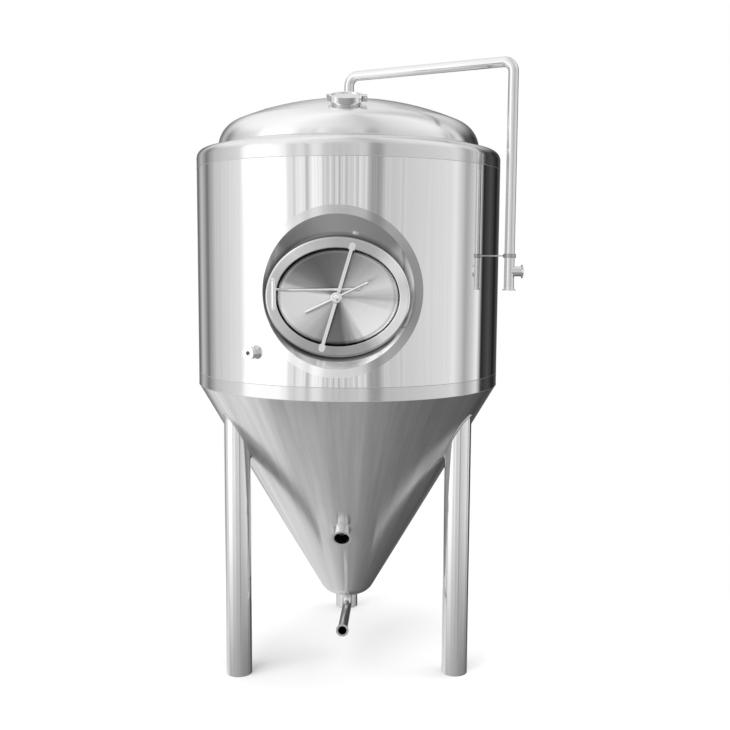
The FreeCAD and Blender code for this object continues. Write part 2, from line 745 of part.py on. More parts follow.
def make_davit():
    pin_y = d.rim_face + 11
    half_sleeve = 46
    lug_width = 16
    lug_depth = 19
    lug_thickness = 6
    centre = d.manway_height + d.davit_rise
    lugs = []
    for side in (-1, 1):
        lug_z = centre + side * (half_sleeve + 4) - lug_thickness / 2
        block = box(lug_width, lug_depth, lug_thickness,
                    (-d.davit_offset - lug_width / 2, -pin_y - lug_width / 2, lug_z))
        pin_bore = cylinder(d.davit_pin_radius, lug_thickness, (-d.davit_offset, -pin_y, lug_z))
        lugs.append(cut(block, pin_bore))
    node(group(*lugs), "davit_lugs")
    overhang = 9
    low = centre - half_sleeve - overhang
    pin = cylinder(d.davit_pin_radius, 2 * (half_sleeve + overhang), (-d.davit_offset, -pin_y, low))
    head = cylinder(d.davit_pin_radius + 3, 4, (-d.davit_offset, -pin_y, centre + half_sleeve + 7))
    node(fuse(pin, head), "davit_pin")
    pin_gap = 0.05
    sleeve_wall = 3 - pin_gap
    sleeve = tube(d.davit_pin_radius + 3, sleeve_wall, 2 * half_sleeve,
                  (-d.davit_offset, -pin_y, centre - half_sleeve))
    rod_z = d.manway_height + 27
    arm_y = -577.5
    elbow_x = -170
    end_x = 70
    arm_bend = 60
    arm = pipe_path([
        (-d.davit_offset, -pin_y, rod_z), (elbow_x, arm_y, rod_z - 4), (end_x, arm_y, rod_z + 2),
    ], arm_bend, d.davit_rod_radius.value, d.davit_rod_radius.value)
    ball = doc.addObject("Part::Sphere", "ball")
    bind(ball, "Radius", 8)
    place(ball, (end_x + 2, arm_y, rod_z + 2))
    rod = fuse(shaped(arm), ball)
    core = cylinder(d.davit_pin_radius + pin_gap, 2 * half_sleeve,
                    (-d.davit_offset, -pin_y, centre - half_sleeve))
    node(cut(fuse(sleeve, rod), core), "davit_arm")


# ---------------------------------------------------------------- ports and clamps

def make_clamp(prefix, flange_radius, tube_radius, position):
    """Two-piece hinged clamp about a joint; local z = 0 is the middle of its gasket."""
    base, rotation = position
    centre = FreeCAD.Vector(*[as_dim(part).value for part in base])
    centre = centre + rotation.multVec(FreeCAD.Vector(0, 0, d.gasket.value / 2))
    frame = (tuple(centre), rotation)
    rim = d.gasket / 2 + d.flange_rim + 0.15
    lip_radius = tube_radius + 1.5
    lip = rim + (flange_radius - lip_radius) * tangent(d.flange_slope)
    outside = flange_radius + 4
    half_height = lip + 3.5
    groove = flange_radius + 0.3
    ring = turned([
        (lip_radius, lip), (groove, rim), (groove, -rim), (lip_radius, -lip),
        (lip_radius, -half_height), (outside, -half_height), (outside, half_height),
        (lip_radius, half_height),
    ])
    span = outside * 2 + 60
    hinge_x = -(outside + 4)
    bolt_x = outside + 8
    pivot_y = 10
    seat = 16 + outside * 0.3
    cheek_low = 4.2
    cheek = half_height - cheek_low
    ear_back = outside - 3
    hinge_gap = 0.3
    outer_knuckle = half_height / 2 - hinge_gap
    outer_knuckles = (-half_height, half_height / 2 + hinge_gap)

    pin_radius = 3
    knuckle_outside = 5
    half_split = 1.5
    knuckle_arm = 6

    def knuckle_at(z, height, side):
        arm_y = half_split if side > 0 else -half_split - knuckle_arm
        arm = box(7, knuckle_arm, height, (hinge_x, arm_y, z))
        return fuse(cylinder(knuckle_outside, height, (hinge_x, 0, z)), arm)

    def knuckle_room(z, height):
        return cylinder(knuckle_outside + hinge_gap, height + 2 * hinge_gap,
                        (hinge_x, 0, z - hinge_gap))

    keep_back = box(span, span, span, (-span / 2, half_split, -span / 2))
    keep_front = box(span, span, span, (-span / 2, -span - half_split, -span / 2))
    pin_hole = cylinder(pin_radius, span, (hinge_x, 0, -span / 2))
    ears = []
    for z in (cheek_low, -half_height):
        ears.append(fuse(box(bolt_x + 4 - ear_back, 10, cheek, (ear_back, half_split, z)),
                         cylinder(4.8, cheek, (bolt_x, pivot_y, z))))
    back_ring = cut(common(ring, keep_back), *[knuckle_room(z, outer_knuckle) for z in outer_knuckles])
    back = fuse(back_ring, knuckle_at(-half_height / 2, half_height, 1), *ears)
    pivot_hole = cylinder(3.05, span, (bolt_x, pivot_y, -span / 2))
    back = cut(back, pin_hole, pivot_hole)
    node(place(back, *frame), f"{prefix}_clamp_fixed_half")

    lobes = [knuckle_at(z, outer_knuckle, -1) for z in outer_knuckles]
    for z in (cheek_low, -half_height):
        block = box(bolt_x + 5 - ear_back, seat + 5, cheek, (ear_back, -(seat + 5) - half_split, z))
        lobes.append(common(block, cylinder(seat, cheek, (bolt_x, pivot_y, z))))
    front_ring = cut(common(ring, keep_front), knuckle_room(-half_height / 2, half_height))
    front = fuse(front_ring, *lobes)
    front = cut(front, pin_hole)
    node(place(front, *frame), f"{prefix}_clamp_hinged_half")

    pin = fuse(cylinder(pin_radius, half_height * 2 + 4, (hinge_x, 0, -half_height - 2)),
               cylinder(pin_radius + 1.5, 2, (hinge_x, 0, half_height)))
    node(place(pin, *frame), f"{prefix}_clamp_hinge_pin")

    toward = FreeCAD.Rotation(FreeCAD.Vector(1, 0, 0), 90)
    eye_height = 7.6
    bolt = fuse(cylinder(pin_radius, seat + 16, (bolt_x, pivot_y, 0), toward),
                cylinder(pin_radius, half_height * 2, (bolt_x, pivot_y, -half_height)),
                cylinder(pin_radius + 1, eye_height, (bolt_x, pivot_y, -eye_height / 2)))
    node(place(bolt, *frame), f"{prefix}_swing_bolt")
    nut_back = pivot_y - seat - 0.3
    nut_bore = pin_radius + 0.06
    nut_length = 9
    body = turned([(nut_bore, 0), (7, 0), (6, nut_length), (nut_bore, nut_length)])
    body = place(body, (bolt_x, nut_back, 0), toward)
    wing_size = 9
    wing_sheet = 3
    wings = []
    for side in (-1, 1):
        corner = (side * wing_size - wing_size / 2, -wing_sheet / 2, 4)
        wings.append(box(wing_size, wing_sheet, wing_size, corner))
    wing_pair = place(fuse(*wings), (bolt_x, nut_back, 0), toward)
    bore = cylinder(nut_bore, 40, (bolt_x, nut_back + 5, 0), toward)
    node(place(cut(fuse(body, wing_pair), bore), *frame), f"{prefix}_wing_nut")


def make_top_port():
    base, rotation = top_port_position
    port = ferrule(d.large_tube_radius, d.large_tube_wall, d.large_ferrule_radius,
                   d.top_port_height + 4)
    node(place(port, base, rotation), "top_port_ferrule")
    ring_inside = d.large_tube_radius - 3.8
    ring_outside = d.large_ferrule_radius - 1
    ring = turned([(ring_inside, 0), (ring_outside, 0), (ring_outside, d.gasket),
                   (ring_inside, d.gasket)])
    node(place(ring, base, rotation), "top_port_gasket")
    slope = (d.large_ferrule_radius - d.large_tube_radius) * tangent(d.flange_slope)
    face = d.gasket + d.flange_rim
    cap = turned([
        (0, d.gasket), (d.large_ferrule_radius, d.gasket), (d.large_ferrule_radius, face),
        (d.large_tube_radius, face + slope), (0, face + slope),
    ])
    node(place(cap, base, rotation), "top_port_cap")
    make_clamp("top_port", d.large_ferrule_radius, d.large_tube_radius, top_port_position)


def make_cip():
    base, rotation = cip_port_position
    port = ferrule(d.tube_radius, d.tube_wall, d.ferrule_radius, d.cip_port_height + 4)
    node(place(port, base, rotation), "cip_port_ferrule")
    ring = turned([(tube_bore, 0), (d.ferrule_radius - 0.5, 0), (d.ferrule_radius - 0.5, d.gasket),
                   (tube_bore, d.gasket)])
    node(place(ring, base, rotation), "cip_port_gasket")
    make_clamp("cip_port", d.ferrule_radius, d.tube_radius, cip_port_position)

    upside_down = FreeCAD.Rotation(FreeCAD.Vector(1, 0, 0), 180)
    face = as_dim(base[2]) + d.gasket
    length = 14
    lower = place(ferrule(d.tube_radius, d.tube_wall, d.ferrule_radius, length),
                  (0, 0, face), upside_down)
    node(lower, "cip_arm_top_ferrule")
    corner_x, corner_y, _ = outwards(d.cip_reach, d.cip_azimuth, 0)
    pipe = pipe_path([
        (0, 0, face + length), (0, 0, d.cip_top), (corner_x, corner_y, d.cip_top),
        (corner_x, corner_y, d.cip_end + length),
    ], d.tube_bend.value, d.tube_radius.value, d.tube_wall.value)
    side = turned_to(95)
    branch_at = FreeCAD.Vector(corner_x, corner_y, d.cip_branch_height.value)
    branch_reach = 50
    branch_face = branch_at + side.multVec(FreeCAD.Vector(0, 0, branch_reach))
    bore = cylinder(tube_bore - 0.5, branch_reach + 10, tuple(branch_at), side)
    node(cut(shaped(pipe), bore), "cip_arm")
    inlet = place(ferrule(d.tube_radius, d.tube_wall, d.ferrule_radius, length),
                  (corner_x, corner_y, d.cip_end), upside_down)
    node(inlet, "cip_inlet_ferrule")
    branch = place(ferrule(d.tube_radius - 0.2, d.tube_wall, d.ferrule_radius, branch_reach),
                   tuple(branch_face), side)
    run = 60
    run_pipe = cylinder(d.tube_radius, 2 * run, (corner_x, corner_y, d.cip_branch_height - run))
    node(cut(branch, run_pipe), "cip_branch_ferrule")

    clip_height = 16
    clip_radius = d.tube_radius + 4.5
    low = d.cip_bracket_height - clip_height / 2
    clip = tube(clip_radius, 4.4, clip_height, (corner_x, corner_y, low))
    node(clip, "cip_pipe_clip")
    heading = FreeCAD.Rotation(FreeCAD.Vector(0, 0, 1), d.cip_azimuth.value - 90)
    strap_width = 24
    strap_thickness = 5
    strap = box(d.cip_reach - d.shell_radius - d.tube_radius - 4, strap_width, strap_thickness)
    start = heading.multVec(FreeCAD.Vector(d.shell_radius.value - 0.2, -strap_width / 2, 0))
    place(strap, (start.x, start.y, d.cip_bracket_height - strap_thickness / 2), heading)
    clear = cylinder(clip_radius, 2 * clip_height, (corner_x, corner_y, low - clip_height / 2))
    skin = cylinder(d.shell_radius, 2 * clip_height, (0, 0, low - clip_height / 2))
    node(cut(strap, clear, skin), "cip_wall_bracket")
    make_spray_ball()


def make_spray_ball():
    """Cleaning ball hanging inside the dome, under the port at the top."""
    base, _ = cip_port_position
    drop = 150
    drop_radius = 12.7
    drop_wall = 1.6
    ball_radius = 32
    ball_wall = 1.5
    overlap = 6
    stem_top = as_dim(base[2]) - d.cip_port_height - 8
    ball_centre = as_dim(base[2]) - d.cip_port_height - drop
    stem_foot = ball_centre + ball_radius - overlap
    stem = tube(drop_radius, drop_wall, stem_top - stem_foot, (0, 0, stem_foot))
    ball = doc.addObject("Part::Sphere", "ball")
    bind(ball, "Radius", ball_radius)
    place(ball, (0, 0, ball_centre))
    core = doc.addObject("Part::Sphere", "core")
    bind(core, "Radius", ball_radius - ball_wall)
    place(core, (0, 0, ball_centre))
    throat = cylinder(drop_radius - drop_wall, 60, (0, 0, ball_centre + 10))
    jet_radius = 1.5
    jets = []
    for azimuth in range(0, 360, 45):
        for tilt in (-35, 20):
            rotation = turned_to(azimuth, tilt)
            start = FreeCAD.Vector(0, 0, ball_centre.value) + rotation.multVec(FreeCAD.Vector(0, 0, 25))
            jets.append(cylinder(jet_radius, 12, tuple(start), rotation))
    node(cut(fuse(ball, stem), core, throat, *jets), "spray_ball")


def make_small_ports():
    base, rotation = relief_position
    port = ferrule(d.tube_radius, d.tube_wall, d.ferrule_radius, d.relief_height + 4)
    node(place(port, base, rotation), "relief_port_ferrule")
    base, rotation = probe_position
    well_radius = 8
    reach = d.shell_radius + PROBE_REACH - d.bore_radius
    socket = ferrule(d.tube_radius, d.tube_radius - well_radius, d.ferrule_radius, reach)
    node(place(socket, base, rotation), "thermowell_socket")
    well_wall = 2
    well_inside = well_radius - well_wall
    well_start = -10
    well_end = -(reach + 150)
    well = turned([
        (well_inside, well_start), (well_radius, well_start), (well_radius, well_end), (0, well_end),
        (0, well_end + well_wall), (well_inside, well_end + well_wall),
    ])
    node(place(well, base, rotation), "thermowell_tube")
    base, rotation = racking_position
    depth = insulation_span * cosine(d.cone_half_angle)
    racking = ferrule(d.racking_tube_radius, d.tube_wall, d.racking_ferrule_radius,
                      depth + RACKING_REACH + 2)
    node(place(racking, base, rotation), "racking_port")
    length = 21.5
    drain = pipe_path([
        (0, 0, outlet_height), (0, 0, d.drain_height), (0, -d.drain_reach + length, d.drain_height),
    ], d.tube_bend.value, d.tube_radius.value, d.tube_wall.value)
    node(shaped(drain), "drain_arm")
    node(place(ferrule(d.tube_radius, d.tube_wall, d.ferrule_radius, length),
               (0, -d.drain_reach, d.drain_height), DOWN_Y), "drain_ferrule")


# ---------------------------------------------------------------- build and write

for make in (make_vessel, make_jackets, make_glycol_ports, make_insulation, make_cladding,
             make_legs, make_surround, make_frame, make_cover, make_crossbar, make_handle,
             make_davit, make_top_port, make_cip, make_small_ports):
    make()
doc.recompute()

for item in doc.Objects:
    if "Invalid" in item.State or "Error" in item.State:
        raise RuntimeError(f"{item.Name} ({item.Label}) failed: {item.State}")
for item in nodes:
    if item.Shape.isNull() or not item.Shape.isValid() or not item.Shape.Solids:
        raise RuntimeError(f"{item.Label} has no valid solid")

os.makedirs(NODE_FOLDER, exist_ok=True)
for item in nodes:
    item.Shape.exportStep(f"{NODE_FOLDER}/{item.Label}.step")
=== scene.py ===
import math

import bmesh
import bpy
from mathutils import Matrix, Vector


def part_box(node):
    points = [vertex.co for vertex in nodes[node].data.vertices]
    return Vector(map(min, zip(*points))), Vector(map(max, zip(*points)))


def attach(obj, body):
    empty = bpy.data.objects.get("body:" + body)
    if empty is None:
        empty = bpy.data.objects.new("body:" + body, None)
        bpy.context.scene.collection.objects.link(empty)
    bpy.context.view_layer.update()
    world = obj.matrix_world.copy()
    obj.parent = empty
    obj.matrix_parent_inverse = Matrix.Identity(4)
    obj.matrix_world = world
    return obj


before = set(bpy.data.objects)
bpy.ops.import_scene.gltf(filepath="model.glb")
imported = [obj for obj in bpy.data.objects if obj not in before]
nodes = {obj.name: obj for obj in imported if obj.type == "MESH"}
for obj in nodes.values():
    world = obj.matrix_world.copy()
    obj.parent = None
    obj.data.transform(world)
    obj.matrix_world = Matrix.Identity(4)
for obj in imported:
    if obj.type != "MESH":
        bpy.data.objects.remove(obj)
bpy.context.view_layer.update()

# ---------------------------------------------------------------- places taken from the frame

shell_low, shell_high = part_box("shell_cladding")
SHELL_RADIUS = shell_high[0]
BAND_TOP = shell_low[2]
MIRROR_TOP = shell_high[2]
BAND_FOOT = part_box("lower_band")[0][2]
SHOULDER_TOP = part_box("shoulder_ring")[1][2]
CONE_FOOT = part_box("cone_cladding")[0][2]
HALF_CONE = math.radians(30)
CONE_TIP = BAND_FOOT - SHELL_RADIUS / math.tan(HALF_CONE)

rim_low, rim_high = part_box("manway_frame")
MANWAY_Z = (rim_low[2] + rim_high[2]) / 2
RIM_HALF_WIDTH = rim_high[0]
RIM_HALF_HEIGHT = rim_high[2] - MANWAY_Z
surround_low, surround_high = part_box("manway_surround")
SURROUND_Z = (surround_low[2] + surround_high[2]) / 2
FLUSH_RING_WIDTH = 0.031
FUNNEL_EDGE = surround_high[0] - FLUSH_RING_WIDTH

head_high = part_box("top_head")[1]
HEAD_RADIUS = head_high[0]
CROWN = 1.15                # radius of the dome's crown
CROWN_CENTRE = Vector((0, 0, head_high[2] - CROWN))

# ---------------------------------------------------------------- material helpers

DISPLAY_GAMMA = 2.2         # brightness tables are written as seen, and rendered as light
COOL_TINT = 1.008           # steel reflects blue a little more than red
COARSE_LINES = 260.0        # brushing lines per metre
FINE_LINES = 420.0
COVER_ROUNDNESS = 0.79      # the oval cover's height over its width


class Nodes:
    """Small helper to write shader node trees as plain function calls."""

    def __init__(self, tree):
        self.tree = tree

    def add(self, kind, **settings):
        item = self.tree.nodes.new(kind)
        for name, value in settings.items():
            setattr(item, name, value)
        return item

    def link(self, source, target):
        self.tree.links.new(source, target)
        return target

    def feed(self, sockets, values):
        """Link each socket to its value, or set it where the value is a plain number."""
        for socket, value in zip(sockets, values):
            if hasattr(value, "links"):
                self.link(value, socket)
            else:
                socket.default_value = value

    def math(self, operation, first, second=0.0, clamp=False):
        item = self.add("ShaderNodeMath", operation=operation, use_clamp=clamp)
        self.feed(item.inputs, (first, second))
        return item.outputs[0]

    def vary(self, noise, amount):
        """A noise value as a change about zero."""
        return self.math("MULTIPLY", self.math("SUBTRACT", noise, 0.5), amount)

    def length(self, first, second):
        squares = [self.math("MULTIPLY", side, side) for side in (first, second)]
        return self.math("SQRT", self.math("ADD", *squares))

    def point(self, *parts):
        item = self.add("ShaderNodeCombineXYZ")
        self.feed(item.inputs, parts)
        return item.outputs[0]

    def place(self):
        return self.add("ShaderNodeTexCoord").outputs["Object"]

    def place_parts(self):
        item = self.add("ShaderNodeSeparateXYZ")
        self.link(self.place(), item.inputs[0])
        return item.outputs

    def blend(self, first, second, factor):
        item = self.add("ShaderNodeMix", data_type="RGBA")
        self.link(first, item.inputs["A"])
        self.link(second, item.inputs["B"])
        self.link(factor, item.inputs["Factor"])
        return item.outputs["Result"]

    def scaled(self, colour, gain):
        item = self.add("ShaderNodeVectorMath", operation="SCALE")
        self.link(colour, item.inputs[0])
        self.link(gain, item.inputs["Scale"])
        return item.outputs[0]

    def between(self, value, low, high, start=0.0, smooth=True):
        """From start to one as the value goes from low to high."""
        kind = "SMOOTHSTEP" if smooth else "LINEAR"
        item = self.add("ShaderNodeMapRange", interpolation_type=kind)
        self.link(value, item.inputs["Value"])
        item.inputs["From Min"].default_value = low
        item.inputs["From Max"].default_value = high
        item.inputs["To Min"].default_value = start
        return item.outputs[0]

    def ramp(self, factor, stops):
        item = self.add("ShaderNodeValToRGB")
        elements = item.color_ramp.elements
        while len(elements) < len(stops):
            elements.new(0.5)
        for element, (place, level) in zip(elements, stops):
            element.position = place
            element.color = (level, level, level, 1)
        self.link(factor, item.inputs[0])
        return item.outputs[0]

    def noise(self, vector, scale, detail=4.0, roughness=0.55):
        item = self.add("ShaderNodeTexNoise")
        item.inputs["Scale"].default_value = scale
        item.inputs["Detail"].default_value = detail
        item.inputs["Roughness"].default_value = roughness
        self.link(vector, item.inputs["Vector"])
        return item.outputs["Fac"]


def stretched(n, kind):
    """Coordinates squeezed so that noise runs in fine lines along the brushing direction.

    round: lines run around the vertical axis. upright: lines run along Z.
    fan: lines run around the manway's axis, as spun covers are polished.
    """
    x, y, z = n.place_parts()
    if kind == "round":
        return n.point(n.math("MULTIPLY", n.math("ARCTAN2", x, y), 0.8),
                       n.math("MULTIPLY", z, COARSE_LINES))
    if kind == "upright":
        return n.point(n.math("MULTIPLY", x, FINE_LINES), n.math("MULTIPLY", y, FINE_LINES),
                       n.math("MULTIPLY", z, 3.0))
    drop = n.math("SUBTRACT", z, MANWAY_Z)
    wide = n.math("MULTIPLY", x, COVER_ROUNDNESS)
    return n.point(n.math("MULTIPLY", n.length(drop, wide), FINE_LINES), n.math("ARCTAN2", drop, wide))


def spread_direction(n, kind):
    """The way brushed steel smears its reflections: across the brushing lines."""
    if kind != "fan":
        return n.point(0.0, 0.0, 1.0)
    arm = n.add("ShaderNodeVectorMath", operation="SUBTRACT")
    n.link(n.place(), arm.inputs[0])
    arm.inputs[1].default_value = (0, 0, MANWAY_Z)
    flat = n.add("ShaderNodeVectorMath", operation="MULTIPLY")
    n.link(arm.outputs[0], flat.inputs[0])
    flat.inputs[1].default_value = (1, 0, 1)
    unit = n.add("ShaderNodeVectorMath", operation="NORMALIZE")
    n.link(flat.outputs[0], unit.inputs[0])
    return unit.outputs[0]


def painted_sectors(n, centre_z, stops, soften):
    """Painted light and shade: brightness by direction around a point of the front wall, in degrees
    clockwise from the top.
    """
    x, _, z = n.place_parts()
    drop = n.math("SUBTRACT", z, centre_z)
    turn = n.math("FRACT", n.math("DIVIDE", n.math("ARCTAN2", x, drop), 2 * math.pi))
    reach = n.length(x, drop)
    ray = n.point(n.math("MULTIPLY", turn, 46.0), n.math("MULTIPLY", reach, 4.0))
    wander = n.vary(n.noise(ray, 1.0, 3.0, 0.6), soften)
    turn = n.math("FRACT", n.math("ADD", turn, wander))
    levels = [(degrees / 360, level ** DISPLAY_GAMMA) for degrees, level in stops]
    return n.ramp(turn, levels), reach


def new_material(name):
    """An empty node material with its surface shader in place."""
    material = bpy.data.materials.new(name)
    material.use_nodes = True
    material.node_tree.nodes.clear()
    n = Nodes(material.node_tree)
    output = n.add("ShaderNodeOutputMaterial")
    shader = n.add("ShaderNodeBsdfPrincipled")
    n.link(shader.outputs[0], output.inputs["Surface"])
    return material, n, shader, output


def ripple(n, shader, height, strength, distance):
    item = n.add("ShaderNodeBump")
    item.inputs["Strength"].default_value = strength
    item.inputs["Distance"].default_value = distance
    n.link(height, item.inputs["Height"])
    n.link(item.outputs[0], shader.inputs["Normal"])


def steel(name, tone, rough, brushing="round", grain=0.25, bump=0.0, cloud=0.06, spread=0.08,
          anisotropic=0.0, shade=None):
    """Stainless steel: tone and roughness vary with fine brushing lines and soft handling clouds."""
    material, n, shader, _ = new_material(name)
    shader.inputs["Metallic"].default_value = 1.0
    lines = n.noise(stretched(n, brushing), 1.0, 3.0, 0.7)
    clouds = n.noise(n.place(), 3.2, 5.0)
    change = n.math("ADD", n.vary(lines, grain), n.vary(clouds, cloud * 2))
    level = n.math("ADD", change, tone, clamp=True)
    # Painted light: where shade is given, its painted highlights and painted shade multiply the colour.
    if shade:
        level = n.math("MULTIPLY", level, shade(n))
    colour = n.add("ShaderNodeCombineColor")
    n.feed(colour.inputs, (level, level, n.math("MULTIPLY", level, COOL_TINT, clamp=True)))
    n.link(colour.outputs[0], shader.inputs["Base Color"])
    change = n.math("ADD", n.vary(lines, spread), n.vary(clouds, spread))
    n.link(n.math("ADD", change, rough, clamp=True), shader.inputs["Roughness"])
    if bump:
        ripple(n, shader, lines, bump, 0.0006)
    if anisotropic:
        shader.inputs["Anisotropic"].default_value = anisotropic
        n.link(spread_direction(n, brushing), shader.inputs["Tangent"])
    return material


def mottled(name, colour, rough, mottle=0.04, scale=90.0):
    """Rubber, foam or floor: a base colour with fine mottling and a slight surface texture."""
    material, n, shader, output = new_material(name)
    spots = n.noise(n.place(), scale, 6.0)
    mix = n.add("ShaderNodeMix", data_type="RGBA")
    n.link(spots, mix.inputs["Factor"])
    mix.inputs["A"].default_value = (*[c * (1 - mottle * 2) for c in colour], 1)
    mix.inputs["B"].default_value = (*[min(c * (1 + mottle), 1) for c in colour], 1)
    n.link(mix.outputs["Result"], shader.inputs["Base Color"])
    shader.inputs["Roughness"].default_value = rough
    ripple(n, shader, spots, 0.25, 0.0005)
    return material, n, shader, output


# ---------------------------------------------------------------- materials

# Painted highlights and painted shade: bright and dark sectors standing in for the studio's reflections
# in the steel, as (degrees clockwise from the top, level).
COVER_PAINTED_HIGHLIGHTS = (
    (0, 0.60), (18, 0.66), (35, 0.84), (75, 0.98), (92, 0.80), (104, 1.02), (124, 1.06), (133, 1.24),
    (141, 1.20), (152, 0.86), (172, 0.50), (190, 0.54), (215, 0.84), (240, 1.04), (258, 1.12),
    (266, 1.24), (276, 1.18), (287, 0.76), (305, 0.60), (325, 0.52), (360, 0.60),
)
RING_PAINTED_LIGHT = (
    (0, 0.90), (40, 0.82), (65, 0.70), (110, 0.66), (140, 0.84), (170, 1.04), (215, 1.10), (300, 1.10),
    (335, 0.96), (360, 0.90),
)
FUNNEL_PAINTED_LIGHT = (
    (0, 0.92), (35, 0.82), (60, 0.80), (80, 1.0), (100, 1.08), (130, 0.98), (160, 1.10), (190, 1.06),
    (215, 0.78), (240, 0.56), (285, 0.52), (320, 0.74), (345, 0.90), (360, 0.92),
)
RIM_PAINTED_HIGHLIGHTS = (
    (0, 0.82), (40, 0.88), (62, 1.10), (80, 0.98), (105, 1.10), (125, 1.14), (150, 0.80), (185, 0.70),
    (215, 0.80), (245, 0.94), (290, 0.92), (315, 1.04), (340, 0.90), (360, 0.82),
)


# Painted highlights and painted shade fanning round the manway cover.
def cover_painted_light(n):
    return painted_sectors(n, MANWAY_Z, COVER_PAINTED_HIGHLIGHTS, 0.05)[0]


# Painted highlights and painted shade around the oval rim.
def rim_painted_light(n):
    return painted_sectors(n, MANWAY_Z, RIM_PAINTED_HIGHLIGHTS, 0.02)[0]


def surround_painted_light(n):
    """Painted light: the flush ring and the funnel inside it get different painted reflections of the
    studio, and the painted shadow along the rim.
    """
    ring, reach = painted_sectors(n, SURROUND_Z, RING_PAINTED_LIGHT, 0.01)
    funnel, _ = painted_sectors(n, SURROUND_Z, FUNNEL_PAINTED_LIGHT, 0.02)
    edge = n.between(reach, FUNNEL_EDGE - 0.003, FUNNEL_EDGE + 0.001, smooth=False)
    return n.math("MULTIPLY", n.blend(funnel, ring, edge), painted_rim_shadow(n))


def cone_painted_streaks(n):
    """Painted reflections: streaks that fan out up the cone from its outlet, where rolled sheet would
    mirror the studio.
    """
    x, y, z = n.place_parts()
    azimuth = n.math("ARCTAN2", x, n.math("MULTIPLY", y, -1.0))
    ray = n.point(n.math("MULTIPLY", azimuth, 7.0), n.math("MULTIPLY", z, 0.9))
    return n.math("ADD", 1.0, n.vary(n.noise(ray, 1.0, 5.0, 0.62), z))


def painted_rim_shadow(n):
    """Painted shadow: a darker line where the funnel tucks in against the oval rim."""
    x, _, z = n.place_parts()
    across = n.math("DIVIDE", x, RIM_HALF_WIDTH)
    upward = n.math("DIVIDE", n.math("SUBTRACT", z, MANWAY_Z), RIM_HALF_HEIGHT)
    return n.between(n.length(across, upward), 1.0, 1.10, start=0.30)


# CONE, FUNNEL, RIM and COVER have painted highlights and painted shade multiplied into their colour
# through shade.
MIRROR = steel("mirror_polished", 0.86, 0.02, "upright", grain=0.05, cloud=0.02, spread=0.012)
BAND = steel("brushed_round", 0.78, 0.16, "round", grain=0.07, bump=0.08, cloud=0.05, anisotropic=0.7)
CONE = steel("brushed_cone_with_painted_streaks", 0.80, 0.20, "round", grain=0.05, bump=0.06, cloud=0.05, anisotropic=0.8,
             shade=cone_painted_streaks)
DOME = steel("satin_dome", 0.86, 0.20, "round", grain=0.05, bump=0.05, cloud=0.05, anisotropic=0.5)
FUNNEL = steel("satin_funnel_with_painted_light", 0.86, 0.16, "fan", grain=0.06, bump=0.05, cloud=0.06,
               shade=surround_painted_light)
RIM = steel("polished_rim_with_painted_fan", 0.86, 0.10, "fan", grain=0.06, cloud=0.05, shade=rim_painted_light)
COVER = steel("spun_cover_with_painted_fan", 0.88, 0.30, "fan", grain=0.12, bump=0.10, cloud=0.06, anisotropic=0.9,
              shade=cover_painted_light)
LEG = steel("brushed_leg", 0.90, 0.13, "upright", grain=0.08, bump=0.05, cloud=0.06)
PIPE = steel("polished_pipe", 0.80, 0.09, "upright", grain=0.06, cloud=0.05)
CAST = steel("polished_casting", 0.94, 0.10, "upright", grain=0.04, cloud=0.06)
SATIN = steel("satin_fitting", 0.84, 0.14, "upright", grain=0.08, cloud=0.08)
INSIDE = steel("mill_finish", 0.62, 0.34, "round", grain=0.10, cloud=0.10)
# Painted shade: the wall bracket and its clip are made dark to stand for the dark reflection they show.
STRAP = steel("strap_painted_dark", 0.46, 0.24, "upright", grain=0.10, cloud=0.10)
WELD = steel("weld_bead", 0.70, 0.30, "upright", grain=0.20, bump=0.3, cloud=0.25)
RUBBER = mottled("white_rubber", (0.80, 0.80, 0.77), 0.55)[0]
FOAM = mottled("foam", (0.82, 0.74, 0.52), 0.95, 0.12, 160.0)[0]

FINISHES = {
    MIRROR: ("shell_cladding",),
    BAND: ("lower_band", "shoulder_ring"),
    CONE: ("cone_cladding",),
    DOME: ("top_head",),
    FUNNEL: ("manway_surround",),
    RIM: ("manway_frame",),
    COVER: ("manway_cover",),
    LEG: ("leg_front_left", "leg_front_right", "leg_rear", "leg_end_plates"),
    PIPE: ("cip_arm", "drain_arm"),
    CAST: ("crossbar", "manway_handle", "handle_washer", "manway_stud", "davit_arm", "davit_pin",
           "davit_lugs", "top_port_clamp_fixed_half", "top_port_clamp_hinged_half",
           "cip_port_clamp_fixed_half", "cip_port_clamp_hinged_half", "top_port_swing_bolt",
           "cip_port_swing_bolt", "top_port_wing_nut", "cip_port_wing_nut",
           "top_port_clamp_hinge_pin", "cip_port_clamp_hinge_pin"),
    INSIDE: ("inner_shell", "inner_cone", "shell_cooling_jacket", "cone_cooling_jacket",
             "thermowell_tube", "spray_ball"),
    STRAP: ("cip_wall_bracket", "cip_pipe_clip"),
    RUBBER: ("manway_gasket", "top_port_gasket", "cip_port_gasket"),
    FOAM: ("shell_insulation", "cone_insulation"),
}


def finish_nodes():
    """Give every carried-over node its finish; fittings not named above are satin."""
    chosen = {name: material for material, names in FINISHES.items() for name in names}
    for name, item in nodes.items():
        material = chosen.get(name, SATIN)
        if not item.material_slots:
            item.data.materials.append(material)
        for place in item.material_slots:
            place.material = material


# ---------------------------------------------------------------- weld beads

BEAD_SIDES = 8
BEAD_RIPPLE = 0.12          # height of a bead's ripples, as a share of its radius


